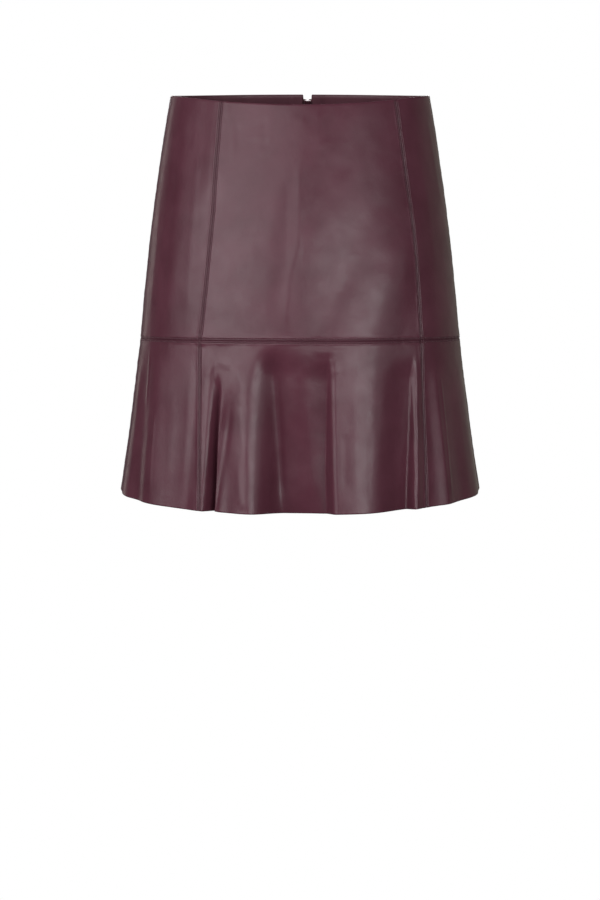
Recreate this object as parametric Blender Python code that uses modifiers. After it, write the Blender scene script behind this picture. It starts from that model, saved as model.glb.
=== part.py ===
"""Short leather skirt with a fitted A-line body and a flared flounce.

The skirt keeps its worn, hollow form. The origin is the centre of the waist opening, +Z is up,
the front faces -Y and the wearer's left is +X. Bearings are degrees round the body: 0 at the
front centre, 90 at the wearer's left side, 180 at the back centre, 270 at the right side.
Drops are metres below the origin.
"""
import math

import bmesh
import bpy
import numpy as np
from mathutils import Matrix

WALL = 0.0012
FACING_WALL = 0.0010
TAPE_WALL = 0.0010
SEAM_GAP = 0.0003
LAYER_GAP = 0.0005

FRONT_DIP = 0.0104
BACK_RISE = 0.0025
SEAM_SIDE, SEAM_FRONT, SEAM_BACK = 0.2570, 0.2530, 0.2570
HEM_SIDE, HEM_FRONT, HEM_BACK = 0.4185, 0.4300, 0.4270
HEM_LIFT = 0.05
FOLD_EASE = 0.62
FOLD_ONSET = 0.20
FOLD_OVERRUN = 1.2
DRAPE_ONSET = 1.6

# Level sections of the body: drop, half width, front depth, back depth
SECTIONS = np.array((
    (-0.01, 0.1352, 0.0955, 0.1000),
    (0.00, 0.1371, 0.0980, 0.1030),
    (0.05, 0.1452, 0.1075, 0.1170),
    (0.10, 0.1526, 0.1160, 0.1290),
    (0.15, 0.1591, 0.1232, 0.1370),
    (0.20, 0.1648, 0.1290, 0.1415),
    (0.26, 0.1703, 0.1350, 0.1450),
    (0.30, 0.1752, 0.1395, 0.1475),
    (0.35, 0.1819, 0.1450, 0.1515),
    (0.40, 0.1890, 0.1510, 0.1565),
    (0.45, 0.1965, 0.1570, 0.1620),
))

# Soft drapes of the body: bearing and drop where the crest starts, bearing at the flounce
# seam, height at the flounce seam, width to the left, width to the right
DRAPES = (
    (50.0, 0.105, 20.0, 0.0034, 17.0, 20.0),
)

# Folds of the flounce: bearing at the hem, bearing at the flounce seam, height out of the
# section, width to the left, width to the right, start below the seam as a share of the
# flounce, slide of the crest towards rising bearing, and roundness, which is 1 for a sharp
# crease and 2 for a soft crest
FOLDS = (
    (-84.0, -84.0, -0.0010, 7.0, 6.0, 0.05, 0.000, 2.0),
    (-75.0, -78.0, 0.0010, 7.0, 7.0, 0.05, 0.000, 2.0),
    (-64.0, -70.5, -0.0026, 7.0, 6.0, 0.06, 0.000, 2.0),
    (-54.0, -60.5, 0.0014, 6.0, 7.0, 0.02, 0.000, 2.0),
    (-43.5, -47.0, -0.0010, 6.0, 7.0, 0.04, 0.000, 2.0),
    (-32.0, -33.4, 0.0060, 6.0, 3.0, 0.00, 0.002, 2.0),
    (-29.4, -29.3, -0.0190, 2.9, 3.6, 0.10, 0.000, 1.6),
    (-16.0, -17.6, 0.0085, 8.0, 8.0, 0.00, 0.000, 2.0),
    (-6.8, -7.6, -0.0190, 7.5, 13.0, 0.06, 0.000, 1.25),
    (8.6, 9.6, -0.0210, 15.0, 2.0, 0.10, 0.000, 1.5),
    (21.0, 26.0, 0.0070, 14.0, 11.0, 0.00, 0.000, 2.0),
    (36.0, 41.0, -0.0140, 15.0, 1.9, 0.03, 0.000, 1.8),
    (37.9, 43.0, 0.0070, 1.8, 3.0, 0.02, 0.001, 2.0),
    (46.5, 50.0, -0.0020, 6.0, 6.0, 0.08, 0.000, 2.0),
    (53.6, 54.0, 0.0022, 5.0, 5.0, 0.08, 0.000, 1.5),
    (63.0, 64.0, -0.0020, 7.0, 7.0, 0.10, 0.000, 2.0),
    (75.0, 76.0, 0.0010, 7.0, 7.0, 0.06, 0.000, 2.0),
    (85.0, 85.0, -0.0010, 7.0, 6.0, 0.05, 0.000, 2.0),
    (96.0, 95.5, 0.0015, 6.0, 6.0, 0.05, 0.000, 2.0),
    (104.0, 103.5, -0.0080, 6.0, 8.0, 0.03, 0.000, 2.0),
    (113.5, 113.0, 0.0140, 7.0, 9.0, 0.02, 0.000, 2.0),
    (124.5, 124.0, -0.0150, 9.0, 3.2, 0.06, 0.000, 2.0),
    (127.4, 126.5, 0.0080, 2.6, 9.0, 0.08, -0.004, 2.0),
    (137.0, 136.0, 0.0120, 8.0, 9.0, 0.03, 0.000, 2.0),
    (149.0, 148.5, -0.0190, 9.0, 8.0, 0.04, 0.000, 2.0),
    (160.0, 159.5, 0.0150, 8.0, 5.0, 0.02, 0.003, 2.0),
    (166.5, 166.0, -0.0120, 4.0, 6.0, 0.10, 0.000, 2.0),
    (176.8, 176.6, 0.0100, 7.0, 7.0, 0.03, 0.000, 2.0),
    (187.0, 187.0, -0.0160, 7.0, 9.0, 0.05, 0.000, 2.0),
    (199.0, 198.5, 0.0180, 9.0, 8.0, 0.02, 0.000, 2.0),
    (209.5, 209.0, -0.0150, 8.0, 3.0, 0.08, 0.000, 2.0),
    (212.3, 211.8, 0.0090, 2.4, 8.0, 0.10, -0.004, 2.0),
    (222.0, 221.5, 0.0110, 8.0, 9.0, 0.02, 0.000, 2.0),
    (233.5, 233.5, -0.0160, 9.0, 7.0, 0.04, 0.000, 2.0),
    (244.0, 244.5, 0.0110, 7.0, 7.0, 0.03, 0.000, 2.0),
    (253.0, 254.0, -0.0070, 6.0, 6.0, 0.06, 0.000, 2.0),
    (262.0, 263.0, 0.0015, 5.0, 5.0, 0.04, 0.000, 2.0),
)

# Upright seams: bearing at the waist, halfway down the body, at the flounce seam, at the hem
SEAM_LINES = {
    "right side": (-90.0, -90.0, -90.0, -90.0),
    "front right": (-35.8, -35.5, -37.7, -32.4),
    "front left": (46.0, 47.8, 48.2, 43.4),
    "left side": (90.0, 90.0, 90.0, 90.0),
    "back centre": (176.6, 176.6, 176.6, 176.8),
    "right side again": (270.0, 270.0, 270.0, 270.0),
}

# Body panels and flounce pieces: node, the seam to its left, the seam to its right
BODY_PANELS = (
    ("front_side_right", "right side", "front right"),
    ("front_centre", "front right", "front left"),
    ("front_side_left", "front left", "left side"),
    ("back_left", "left side", "back centre"),
    ("back_right", "back centre", "right side again"),
)
FLOUNCE_PIECES = (
    ("flounce_front_right", "right side", "front right"),
    ("flounce_front_centre", "front right", "front left"),
    ("flounce_front_left", "front left", "left side"),
    ("flounce_back_left", "left side", "back centre"),
    ("flounce_back_right", "back centre", "right side again"),
)

# Mesh spacing: degrees between columns, columns on the flank of a fold, rows down a panel
BODY_SPACING = 4.5
FLOUNCE_SPACING = 4.0
FLANK_COLUMNS = 3.8
BODY_ROWS = 9
FLOUNCE_ROWS = (0.0, 0.05, 0.11, 0.18, 0.26, 0.36, 0.48, 0.61, 0.74, 0.87, 1.0)
EDGE_STRIP = 0.0006

# Facing inside the waist: drop of its top edge and of its lower edge below the waist edge,
# its depth behind the outer face, and how far it stands off to pass over the zip tape
FACING_TOP = 0.0008
FACING_HEIGHT = 0.0450
FACING_DEPTH = WALL + LAYER_GAP
FACING_ROWS = 3
FACING_EDGE = 0.0055
TAPE_STANDOFF = TAPE_WALL + LAYER_GAP
STANDOFF_START, STANDOFF_END = 0.0130, 0.0200

# Concealed zip at the back centre
TAPE_WIDTH = 0.0105
TAPE_INNER_EDGE = 0.0004
TAPE_COLUMNS = 3
TAPE_ROWS = 10
TAPE_TOP = 0.0080
TAPE_BOTTOM = 0.1900
NOTCH_WIDTH = 0.0085
NOTCH_DEPTH = 0.0053
NOTCH_CORNER = 0.0022
NECK_WIDTH = 0.0022
NECK_HEIGHT = 0.0030
NECK_CLEARANCE = 0.0004
PIN_DROP = 0.0080
PIN_RADIUS = 0.0006
EYE_HOLE_RADIUS = 0.0009
EYE_RADIUS = 0.0015
EYE_WIDTH = 0.0022
PIN_STANDOFF = 0.0021
YOKE_SIDE_GAP = 0.0003
YOKE_ARM = 0.0009
YOKE_ARM_HALF = 0.0009
YOKE_BAR_START = 0.0019
YOKE_OUTER = 0.0008
YOKE_WALL_GAP = 0.0005
SLIDER_WIDTH = 0.0068
SLIDER_HEIGHT = 0.0110
SLIDER_THICKNESS = 0.0024
SLIDER_TOP = 0.0054
PULL_LENGTH = 0.0200
PULL_NECK_LENGTH = 0.0040
PULL_WIDTH = 0.0050
PULL_THICKNESS = 0.0012
PULL_FRONT = 0.0002
PULL_NECK_HALF = 0.0009
PULL_TIP_STEPS = 7
PULL_TIP_FLAT = 0.08
SMALL_BEVEL = 0.0002
ROUND_SIDES = 24

# Colour, roughness and metallic value of each material
LEATHER = ((0.115, 0.036, 0.054, 1.0), 0.40, 0.0)
LEATHER_INSIDE = ((0.085, 0.028, 0.040, 1.0), 0.50, 0.0)
TAPE = ((0.060, 0.018, 0.028, 1.0), 0.85, 0.0)
ZIP_METAL = ((0.075, 0.022, 0.034, 1.0), 0.35, 0.6)
GUIDE = ((0.5, 0.5, 0.5, 1.0), 0.5, 0.0)


def clear_scene():
    for old in list(bpy.data.objects):
        bpy.data.objects.remove(old)


def collection(name):
    made = bpy.data.collections.new(name)
    bpy.context.scene.collection.children.link(made)
    return made


def material(name, colour, roughness, metallic):
    made = bpy.data.materials.new(name)
    made.use_nodes = True
    shader = made.node_tree.nodes["Principled BSDF"]
    shader.inputs["Base Color"].default_value = colour
    shader.inputs["Roughness"].default_value = roughness
    shader.inputs["Metallic"].default_value = metallic
    return made


def add_object(name, bm, into, look):
    mesh = bpy.data.meshes.new(name)
    bm.to_mesh(mesh)
    bm.free()
    made = bpy.data.objects.new(name, mesh)
    into.objects.link(made)
    mesh.materials.append(look)
    return made


def through(rows, column, at):
    """Smooth curve through one column of a table, read at the given places."""
    place = rows[:, 0]
    value = rows[:, column]
    slope = np.gradient(value, place)
    k = np.clip(np.searchsorted(place, at) - 1, 0, len(place) - 2)
    span = place[k + 1] - place[k]
    t = (at - place[k]) / span
    near = (1 + 2 * t) * (1 - t) ** 2 * value[k] + t * (1 - t) ** 2 * span * slope[k]
    far = t * t * (3 - 2 * t) * value[k + 1] + t * t * (t - 1) * span * slope[k + 1]
    return near + far


def dipping_line(bearing, side, front, back):
    """Drop of a line round the skirt that differs at its sides, front and back centres."""
    facing_front = np.cos(np.radians(bearing))
    centre = np.where(facing_front > 0, front, back)
    return side + (centre - side) * np.abs(facing_front)


def waist_line(bearing):
    facing_front = np.cos(np.radians(bearing))
    return np.where(facing_front > 0, FRONT_DIP, -BACK_RISE) * facing_front ** 2


def flounce_seam(bearing):
    return dipping_line(bearing, SEAM_SIDE, SEAM_FRONT, SEAM_BACK)


def hem_line(bearing):
    return dipping_line(bearing, HEM_SIDE, HEM_FRONT, HEM_BACK)


def fold_shape(offset, left, right, roundness=2.0):
    """Bump of height 1 that reaches zero at its own width on each side."""
    share = np.abs(offset) / np.where(offset < 0, left, right)
    return np.maximum(0.0, 1.0 - share ** roundness) ** 2


def ease(share):
    """Soft start and soft end between 0 and 1."""
    share = np.clip(share, 0.0, 1.0)
    return share * share * (3 - 2 * share)


def turn_between(bearing, centre):
    return (bearing - centre + 180.0) % 360.0 - 180.0


def folds_at(bearing, fall):
    """Height of the flounce's folds and sideways slide of their crests."""
    push = np.zeros_like(fall)
    slide = np.zeros_like(fall)
    for at_hem, at_seam, height, left, right, start, over, roundness in FOLDS:
        along = np.clip((fall - start) / (1 - start), 0, FOLD_OVERRUN)
        grown = along ** FOLD_EASE * ease(along / FOLD_ONSET)
        centre = at_seam + (at_hem - at_seam) * np.clip(fall, 0, FOLD_OVERRUN)
        shape = fold_shape(turn_between(bearing, centre), left, right, roundness) * grown
        push += height * shape
        slide += over * shape
    return push, slide


def drapes_at(bearing, drop):
    """Height of the soft drapes that slant down the body."""
    push = np.zeros_like(drop)
    for at_start, start_drop, at_seam, height, left, right in DRAPES:
        inside = np.clip((drop - start_drop) / (flounce_seam(bearing) - start_drop), 0, 1)
        centre = at_start + (at_seam - at_start) * inside
        grown = ease(inside * DRAPE_ONSET)
        push += height * fold_shape(turn_between(bearing, centre), left, right) * grown
    return push


def skin(bearing, drop, depth=0.0):
    """Points of the outer face at a bearing and drop, or of a face that lies deeper."""
    bearing, drop = np.broadcast_arrays(np.asarray(bearing, float), np.asarray(drop, float))
    side = np.sin(np.radians(bearing))
    front = np.cos(np.radians(bearing))
    half_width = through(SECTIONS, 1, drop)
    reach = np.where(front > 0, through(SECTIONS, 2, drop), through(SECTIONS, 3, drop))
    out_x, out_y = side / half_width, -front / reach
    size = np.hypot(out_x, out_y)
    out_x, out_y = out_x / size, out_y / size
    top = flounce_seam(bearing)
    fall = (drop - top) / (hem_line(bearing) - top)
    push, slide = folds_at(bearing, fall)
    lift = HEM_LIFT * push * np.clip(fall, 0, 1)
    push = push + drapes_at(bearing, drop) - depth
    x = half_width * side + out_x * push - out_y * slide
    y = -reach * front + out_y * push + out_x * slide
    return np.stack([x, y, lift - drop], -1)


def degrees_for(length, bearing, drop):
    """Turn that moves a point of the outer face by a length along a level line."""
    step = 0.5
    a = skin(bearing - step, drop)
    b = skin(bearing + step, drop)
    return length * 2 * step / np.linalg.norm(b - a, axis=-1)


def seam_in_body(name, share):
    """Bearing of an upright seam at a share of the way from the waist to the flounce."""
    waist, middle, seam, _ = SEAM_LINES[name]
    return (waist * (1 - share) * (1 - 2 * share) + middle * 4 * share * (1 - share)
            + seam * share * (2 * share - 1))


def seam_in_flounce(name, share):
    _, _, seam, hem = SEAM_LINES[name]
    return seam + (hem - seam) * share


def body_columns(left, right):
    count = max(2, round((right - left) / BODY_SPACING))
    return with_edge_strips(np.linspace(0.0, 1.0, count + 1), left, right)


def with_edge_strips(shares, left, right):
    """Add a narrow column at each upright edge, so that both edges of a seam face one way."""
    strip = float(degrees_for(EDGE_STRIP, (left + right) / 2, SEAM_SIDE)) / (right - left)
    return np.concatenate([shares[:1], [strip], shares[1:-1], [1.0 - strip], shares[-1:]])


def flounce_columns(left, right):
    """Shares across a flounce piece, closer together where a fold is narrow."""
    bearing = np.linspace(left, right, 2000)
    spacing = np.full_like(bearing, FLOUNCE_SPACING)
    for at_hem, _, _, wide_left, wide_right, _, _, _ in FOLDS:
        offset = turn_between(bearing, at_hem)
        width = np.where(offset < 0, wide_left, wide_right)
        spacing = np.where(np.abs(offset) < width, np.minimum(spacing, width / FLANK_COLUMNS), spacing)
    passed = np.concatenate([[0.0], np.cumsum(np.diff(bearing) / spacing[1:])])
    count = max(2, round(passed[-1]))
    places = np.interp(np.linspace(0, passed[-1], count + 1), passed, bearing)
    return with_edge_strips((places - left) / (right - left), left, right)


def sheet_from(points, name, wall, into, look):
    """Grid whose rows run down the skirt, moved onto the given points and given a wall."""
    rows, columns = points.shape[:2]
    bm = bmesh.new()
    bmesh.ops.create_grid(bm, x_segments=columns - 1, y_segments=rows - 1, size=0.5)
    for vert in bm.verts:
        column = round((vert.co.x + 0.5) * (columns - 1))
        row = round((0.5 - vert.co.y) * (rows - 1))
        vert.co = points[row, column]
    made = add_object(name, bm, into, look)
    made.data.shade_smooth()
    solidify = made.modifiers.new("wall", "SOLIDIFY")
    solidify.thickness = wall
    solidify.offset = -1.0
    solidify.use_even_offset = True
    return made


def body_panel(name, left_seam, right_seam, into, look):
    left_end = SEAM_LINES[left_seam][0]
    right_end = SEAM_LINES[right_seam][0]
    across = body_columns(left_end, right_end)[None, :]
    share = np.linspace(0.0, 1.0, BODY_ROWS + 1)[:, None]
    left = seam_in_body(left_seam, share)
    right = seam_in_body(right_seam, share)
    middle = left + (right - left) * across
    drop = waist_line(middle) + (flounce_seam(middle) - waist_line(middle)) * share
    inset = degrees_for(SEAM_GAP / 2, middle, drop)
    bearing = middle + inset * (1 - 2 * across)
    drop = drop - SEAM_GAP / 2 * share
    return sheet_from(skin(bearing, drop), name, WALL, into, look)


def flounce_piece(name, left_seam, right_seam, into, look):
    left_end = SEAM_LINES[left_seam][3]
    right_end = SEAM_LINES[right_seam][3]
    across = flounce_columns(left_end, right_end)[None, :]
    share = np.array(FLOUNCE_ROWS)[:, None]
    left = seam_in_flounce(left_seam, share)
    right = seam_in_flounce(right_seam, share)
    middle = left + (right - left) * across
    drop = flounce_seam(middle) + (hem_line(middle) - flounce_seam(middle)) * share
    inset = degrees_for(SEAM_GAP / 2, middle, drop)
    bearing = middle + inset * (1 - 2 * across)
    drop = drop + SEAM_GAP / 2 * (1 - share)
    return sheet_from(skin(bearing, drop), name, WALL, into, look)


def from_back_centre(bearing, drop):
    """Distance along the cloth from the back centre seam."""
    centre = SEAM_LINES["back centre"][0]
    return np.abs(bearing - centre) / degrees_for(1.0, centre, drop)


def facing(name, left, right, into, look):
    """Strip inside the waist edge, which steps over the zip tape near the back centre."""
    count = max(2, round((right - left) / BODY_SPACING))
    centre = SEAM_LINES["back centre"][0]
    step = degrees_for(np.array((STANDOFF_START, STANDOFF_END)), centre, 0.0)
    bends = np.concatenate([centre - step, centre + step])
    bends = bends[(bends > left) & (bends < right)]
    middle = np.union1d(np.linspace(left, right, count + 1), bends)[None, :]
    share = np.linspace(0.0, 1.0, FACING_ROWS)[:, None]
    drop = waist_line(middle) + FACING_TOP + (FACING_HEIGHT - FACING_TOP) * share
    away = from_back_centre(middle, drop)
    rise = ease((STANDOFF_END - away) / (STANDOFF_END - STANDOFF_START))
    depth = FACING_DEPTH + TAPE_STANDOFF * rise
    return sheet_from(skin(middle, drop, depth), name, FACING_WALL, into, look)


def facings(into, look):
    centre = SEAM_LINES["back centre"][0]
    edge = float(degrees_for(FACING_EDGE, centre, 0.0))
    gap = float(degrees_for(SEAM_GAP / 2, 90.0, 0.0))
    facing("facing_front", -90.0 + gap, 90.0 - gap, into, look)
    facing("facing_back_left", 90.0 + gap, centre - edge, into, look)
    facing("facing_back_right", centre + edge, 270.0 - gap, into, look)


def zip_tape(name, side, into, look):
    """Tape behind the back centre seam, on one side of it."""
    centre = SEAM_LINES["back centre"][0]
    across = np.linspace(TAPE_INNER_EDGE, TAPE_WIDTH, TAPE_COLUMNS + 1)[None, :]
    drop = np.linspace(TAPE_TOP, TAPE_BOTTOM, TAPE_ROWS + 1)[:, None]
    bearing = centre + side * degrees_for(across, centre, drop)
    if side < 0:
        bearing = bearing[:, ::-1]
    points = skin(bearing, np.broadcast_to(drop, bearing.shape), WALL + LAYER_GAP)
    return sheet_from(points, name, TAPE_WALL, into, look)


def slope_at(bearing, drop):
    """Lean of the back wall from the vertical."""
    a = skin(bearing, drop - 0.005)
    b = skin(bearing, drop + 0.005)
    return math.atan2(b[1] - a[1], a[2] - b[2])


def zip_frame():
    """Place of the slider's pin: X along the pin, Y out of the wall, Z up the wall."""
    centre = SEAM_LINES["back centre"][0]
    spot = skin(centre, PIN_DROP)
    lean = slope_at(centre, PIN_DROP)
    turn = Matrix.Rotation(lean, 4, "X")
    place = Matrix.Translation(spot.tolist()) @ turn @ Matrix.Translation((0, PIN_STANDOFF, 0))
    return place


def block(low, high):
    """Box between two corners as a mesh under construction."""
    bm = bmesh.new()
    bmesh.ops.create_cube(bm, size=1.0)
    for vert in bm.verts:
        vert.co = [low[k] if vert.co[k] < 0 else high[k] for k in range(3)]
    return bm


def rod(radius, length):
    """Cylinder along X, centred on the origin."""
    bm = bmesh.new()
    turn = Matrix.Rotation(math.radians(90), 4, "Y")
    bmesh.ops.create_cone(bm, cap_ends=True, segments=ROUND_SIDES, radius1=radius,
                          radius2=radius, depth=length, matrix=turn)
    return bm


def boolean(target, other, operation):
    cut = target.modifiers.new(operation.lower(), "BOOLEAN")
    cut.operation = operation
    cut.solver = "EXACT"
    cut.object = other


def helper(name, bm, place, into, look):
    made = add_object(name, bm, into, look)
    made.matrix_world = place
    made.hide_render = True
    made.display_type = "WIRE"
    return made


def cut_notch(panels, place, into, look):
    """Open the top of the back seam: a wide U, and below it a slot for the slider's neck."""
    centre_x = place.translation.x
    back_y = place.translation.y
    top = BACK_RISE
    bottom = top - NOTCH_DEPTH
    margin = 0.02
    half = NOTCH_WIDTH / 2
    wide = block((centre_x - half, back_y - margin, bottom), (centre_x + half, back_y + margin, margin))
    low_edges = [edge for edge in wide.edges if all(vert.co.z < top for vert in edge.verts)
                 and abs(edge.verts[0].co.y - edge.verts[1].co.y) > margin]
    bmesh.ops.bevel(wide, geom=low_edges, offset=NOTCH_CORNER, segments=4, profile=0.5, affect="EDGES")
    slot_half = NECK_WIDTH / 2 + NECK_CLEARANCE
    slot = block((-slot_half, -margin, YOKE_BAR_START - NECK_CLEARANCE),
                 (slot_half, margin, YOKE_BAR_START + NECK_HEIGHT + NOTCH_CORNER))
    cutters = (helper("notch_cutter", wide, Matrix.Identity(4), into, look),
               helper("neck_slot_cutter", slot, place, into, look))
    for panel in panels:
        for cutter in cutters:
            boolean(panel, cutter, "DIFFERENCE")


def zip_slider(place, parts, helpers, look):
    """Slider body inside the wall, its neck through the slot, and a yoke that holds the pin."""
    arm_in = EYE_WIDTH / 2 + YOKE_SIDE_GAP
    arm_out = arm_in + YOKE_ARM
    wall_face = -PIN_STANDOFF
    body_front = wall_face - WALL - TAPE_WALL - 2 * LAYER_GAP
    neck_top = YOKE_BAR_START + NECK_HEIGHT
    body = block((-SLIDER_WIDTH / 2, body_front - SLIDER_THICKNESS, SLIDER_TOP - SLIDER_HEIGHT),
                 (SLIDER_WIDTH / 2, body_front, SLIDER_TOP))
    bmesh.ops.bevel(body, geom=body.edges[:], offset=2 * SMALL_BEVEL, segments=2, profile=0.5,
                    affect="EDGES")
    made = add_object("zip_slider", body, parts, look)
    made.matrix_world = place
    neck = block((-NECK_WIDTH / 2, body_front - SLIDER_THICKNESS / 2, YOKE_BAR_START),
                 (NECK_WIDTH / 2, YOKE_OUTER / 2, neck_top))
    bar = block((-arm_out, wall_face + YOKE_WALL_GAP, YOKE_BAR_START),
                (arm_out, YOKE_OUTER, neck_top))
    bmesh.ops.bevel(bar, geom=bar.edges[:], offset=SMALL_BEVEL, segments=1, profile=0.5, affect="EDGES")
    boolean(made, helper("slider_neck", neck, place, helpers, look), "UNION")
    boolean(made, helper("slider_bar", bar, place, helpers, look), "UNION")
    for side, name in ((-1, "slider_arm_right"), (1, "slider_arm_left")):
        near, far = sorted((side * arm_in, side * arm_out))
        arm = block((near, -YOKE_ARM_HALF, -YOKE_ARM_HALF), (far, YOKE_ARM_HALF / 2, neck_top / 2))
        boolean(made, helper(name, arm, place, helpers, look), "UNION")
    pin = rod(PIN_RADIUS, arm_in + arm_out)
    boolean(made, helper("slider_pin", pin, place, helpers, look), "UNION")
    return made


def pull_outline():
    """Half widths of the pull tab at heights below the pin, narrow above and round below."""
    round_centre = PULL_LENGTH - PULL_WIDTH / 2
    rows = [(0.0, PULL_NECK_HALF), (PULL_NECK_LENGTH, PULL_NECK_HALF)]
    for step in range(PULL_TIP_STEPS + 1):
        angle = math.radians(90) * step / PULL_TIP_STEPS
        half = PULL_WIDTH / 2 * max(math.cos(angle), PULL_TIP_FLAT)
        rows.append((round_centre + PULL_WIDTH / 2 * math.sin(angle), half))
    return rows


def zip_pull(place, parts, helpers, look):
    """Drop-shaped tab that hangs on the slider's pin and rests along the wall."""
    rows = pull_outline()
    tab = bmesh.new()
    bmesh.ops.create_grid(tab, x_segments=1, y_segments=len(rows) - 1, size=0.5)
    for vert in tab.verts:
        drop, half = rows[round((0.5 - vert.co.y) * (len(rows) - 1))]
        vert.co = (math.copysign(half, -vert.co.x), -PULL_FRONT, -drop)
    outline = helper("pull_tab", tab, place, helpers, look)
    wall = outline.modifiers.new("wall", "SOLIDIFY")
    wall.thickness = PULL_THICKNESS
    wall.offset = -1.0
    made = add_object("zip_pull", rod(EYE_RADIUS, EYE_WIDTH), parts, look)
    made.matrix_world = place
    boolean(made, outline, "UNION")
    hole = rod(EYE_HOLE_RADIUS, 2 * EYE_WIDTH)
    boolean(made, helper("eye_hole_cutter", hole, place, helpers, look), "DIFFERENCE")
    return made


def build():
    clear_scene()
    parts = collection("leather_skirt")
    helpers = collection("cutters_and_guides")
    guide_look = material("guide", *GUIDE)
    body = {}
    for name, left, right in BODY_PANELS:
        body[name] = body_panel(name, left, right, parts, material(name, *LEATHER))
    for name, left, right in FLOUNCE_PIECES:
        flounce_piece(name, left, right, parts, material(name, *LEATHER))
    facings(parts, material("facing", *LEATHER_INSIDE))
    tape = material("zip_tape", *TAPE)
    zip_tape("zip_tape_left", -1, parts, tape)
    zip_tape("zip_tape_right", 1, parts, tape)
    place = zip_frame()
    cut_notch((body["back_left"], body["back_right"]), place, helpers, guide_look)
    metal = material("zip_metal", *ZIP_METAL)
    zip_slider(place, parts, helpers, metal)
    zip_pull(place, parts, helpers, metal)


build()
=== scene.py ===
"""Looks of the short leather skirt: fine leather shells, sewing, zip, studio and camera.

Lengths are metres. Bearings are degrees round the body: 0 at the front centre, 90 at the
wearer's left side, 180 at the back centre, 270 at the right side. Drops are metres below the
origin, which is the centre of the waist opening.
"""
import math

import bpy
import numpy as np
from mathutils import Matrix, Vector, noise


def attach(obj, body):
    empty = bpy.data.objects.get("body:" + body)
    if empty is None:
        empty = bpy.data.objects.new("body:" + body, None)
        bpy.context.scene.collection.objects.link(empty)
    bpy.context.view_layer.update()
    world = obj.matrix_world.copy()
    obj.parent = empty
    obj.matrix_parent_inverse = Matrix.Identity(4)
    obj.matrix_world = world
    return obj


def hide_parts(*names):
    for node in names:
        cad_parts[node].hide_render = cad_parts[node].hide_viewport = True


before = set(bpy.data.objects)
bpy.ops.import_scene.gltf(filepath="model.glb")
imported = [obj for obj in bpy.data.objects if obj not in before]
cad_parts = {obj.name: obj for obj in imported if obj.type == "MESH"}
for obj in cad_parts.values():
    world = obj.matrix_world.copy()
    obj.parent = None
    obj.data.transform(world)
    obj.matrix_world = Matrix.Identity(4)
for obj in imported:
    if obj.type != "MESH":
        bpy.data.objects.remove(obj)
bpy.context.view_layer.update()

BODY = "skirt"

# Cut and fit of the skirt, the same values as its solids have
LEATHER_WALL = 0.0012
FACING_WALL = 0.001
TAPE_WALL = 0.001
SEAM_GAP = 0.00005
LAYER_GAP = 0.0005
FRONT_DIP = 0.0104
BACK_RISE = 0.0025
SEAM_SIDE, SEAM_FRONT, SEAM_BACK = 0.257, 0.253, 0.257
HEM_SIDE, HEM_FRONT, HEM_BACK = 0.4185, 0.43, 0.427
HEM_LIFT = 0.05
FOLD_EASE = 0.62
FOLD_ONSET = 0.2
FOLD_OVERRUN = 1.2
DRAPE_ONSET = 1.6

# Level sections of the body: drop, half width, front depth, back depth
SECTIONS = np.array((
    (-0.01, 0.1352, 0.0955, 0.1),
    (0.0, 0.1371, 0.098, 0.103),
    (0.05, 0.1452, 0.1075, 0.117),
    (0.1, 0.1526, 0.116, 0.129),
    (0.15, 0.1591, 0.1232, 0.137),
    (0.2, 0.1648, 0.129, 0.1415),
    (0.26, 0.1703, 0.135, 0.145),
    (0.3, 0.1752, 0.1395, 0.1475),
    (0.35, 0.1819, 0.145, 0.1515),
    (0.4, 0.189, 0.151, 0.1565),
    (0.45, 0.1965, 0.157, 0.162),
))

# Soft drapes of the body: bearing and drop where the crest starts, bearing at the flounce
# seam, height at the flounce seam, width to the left, width to the right
DRAPES = (
    (50.0, 0.105, 20.0, 0.0034, 17.0, 20.0),
)

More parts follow.
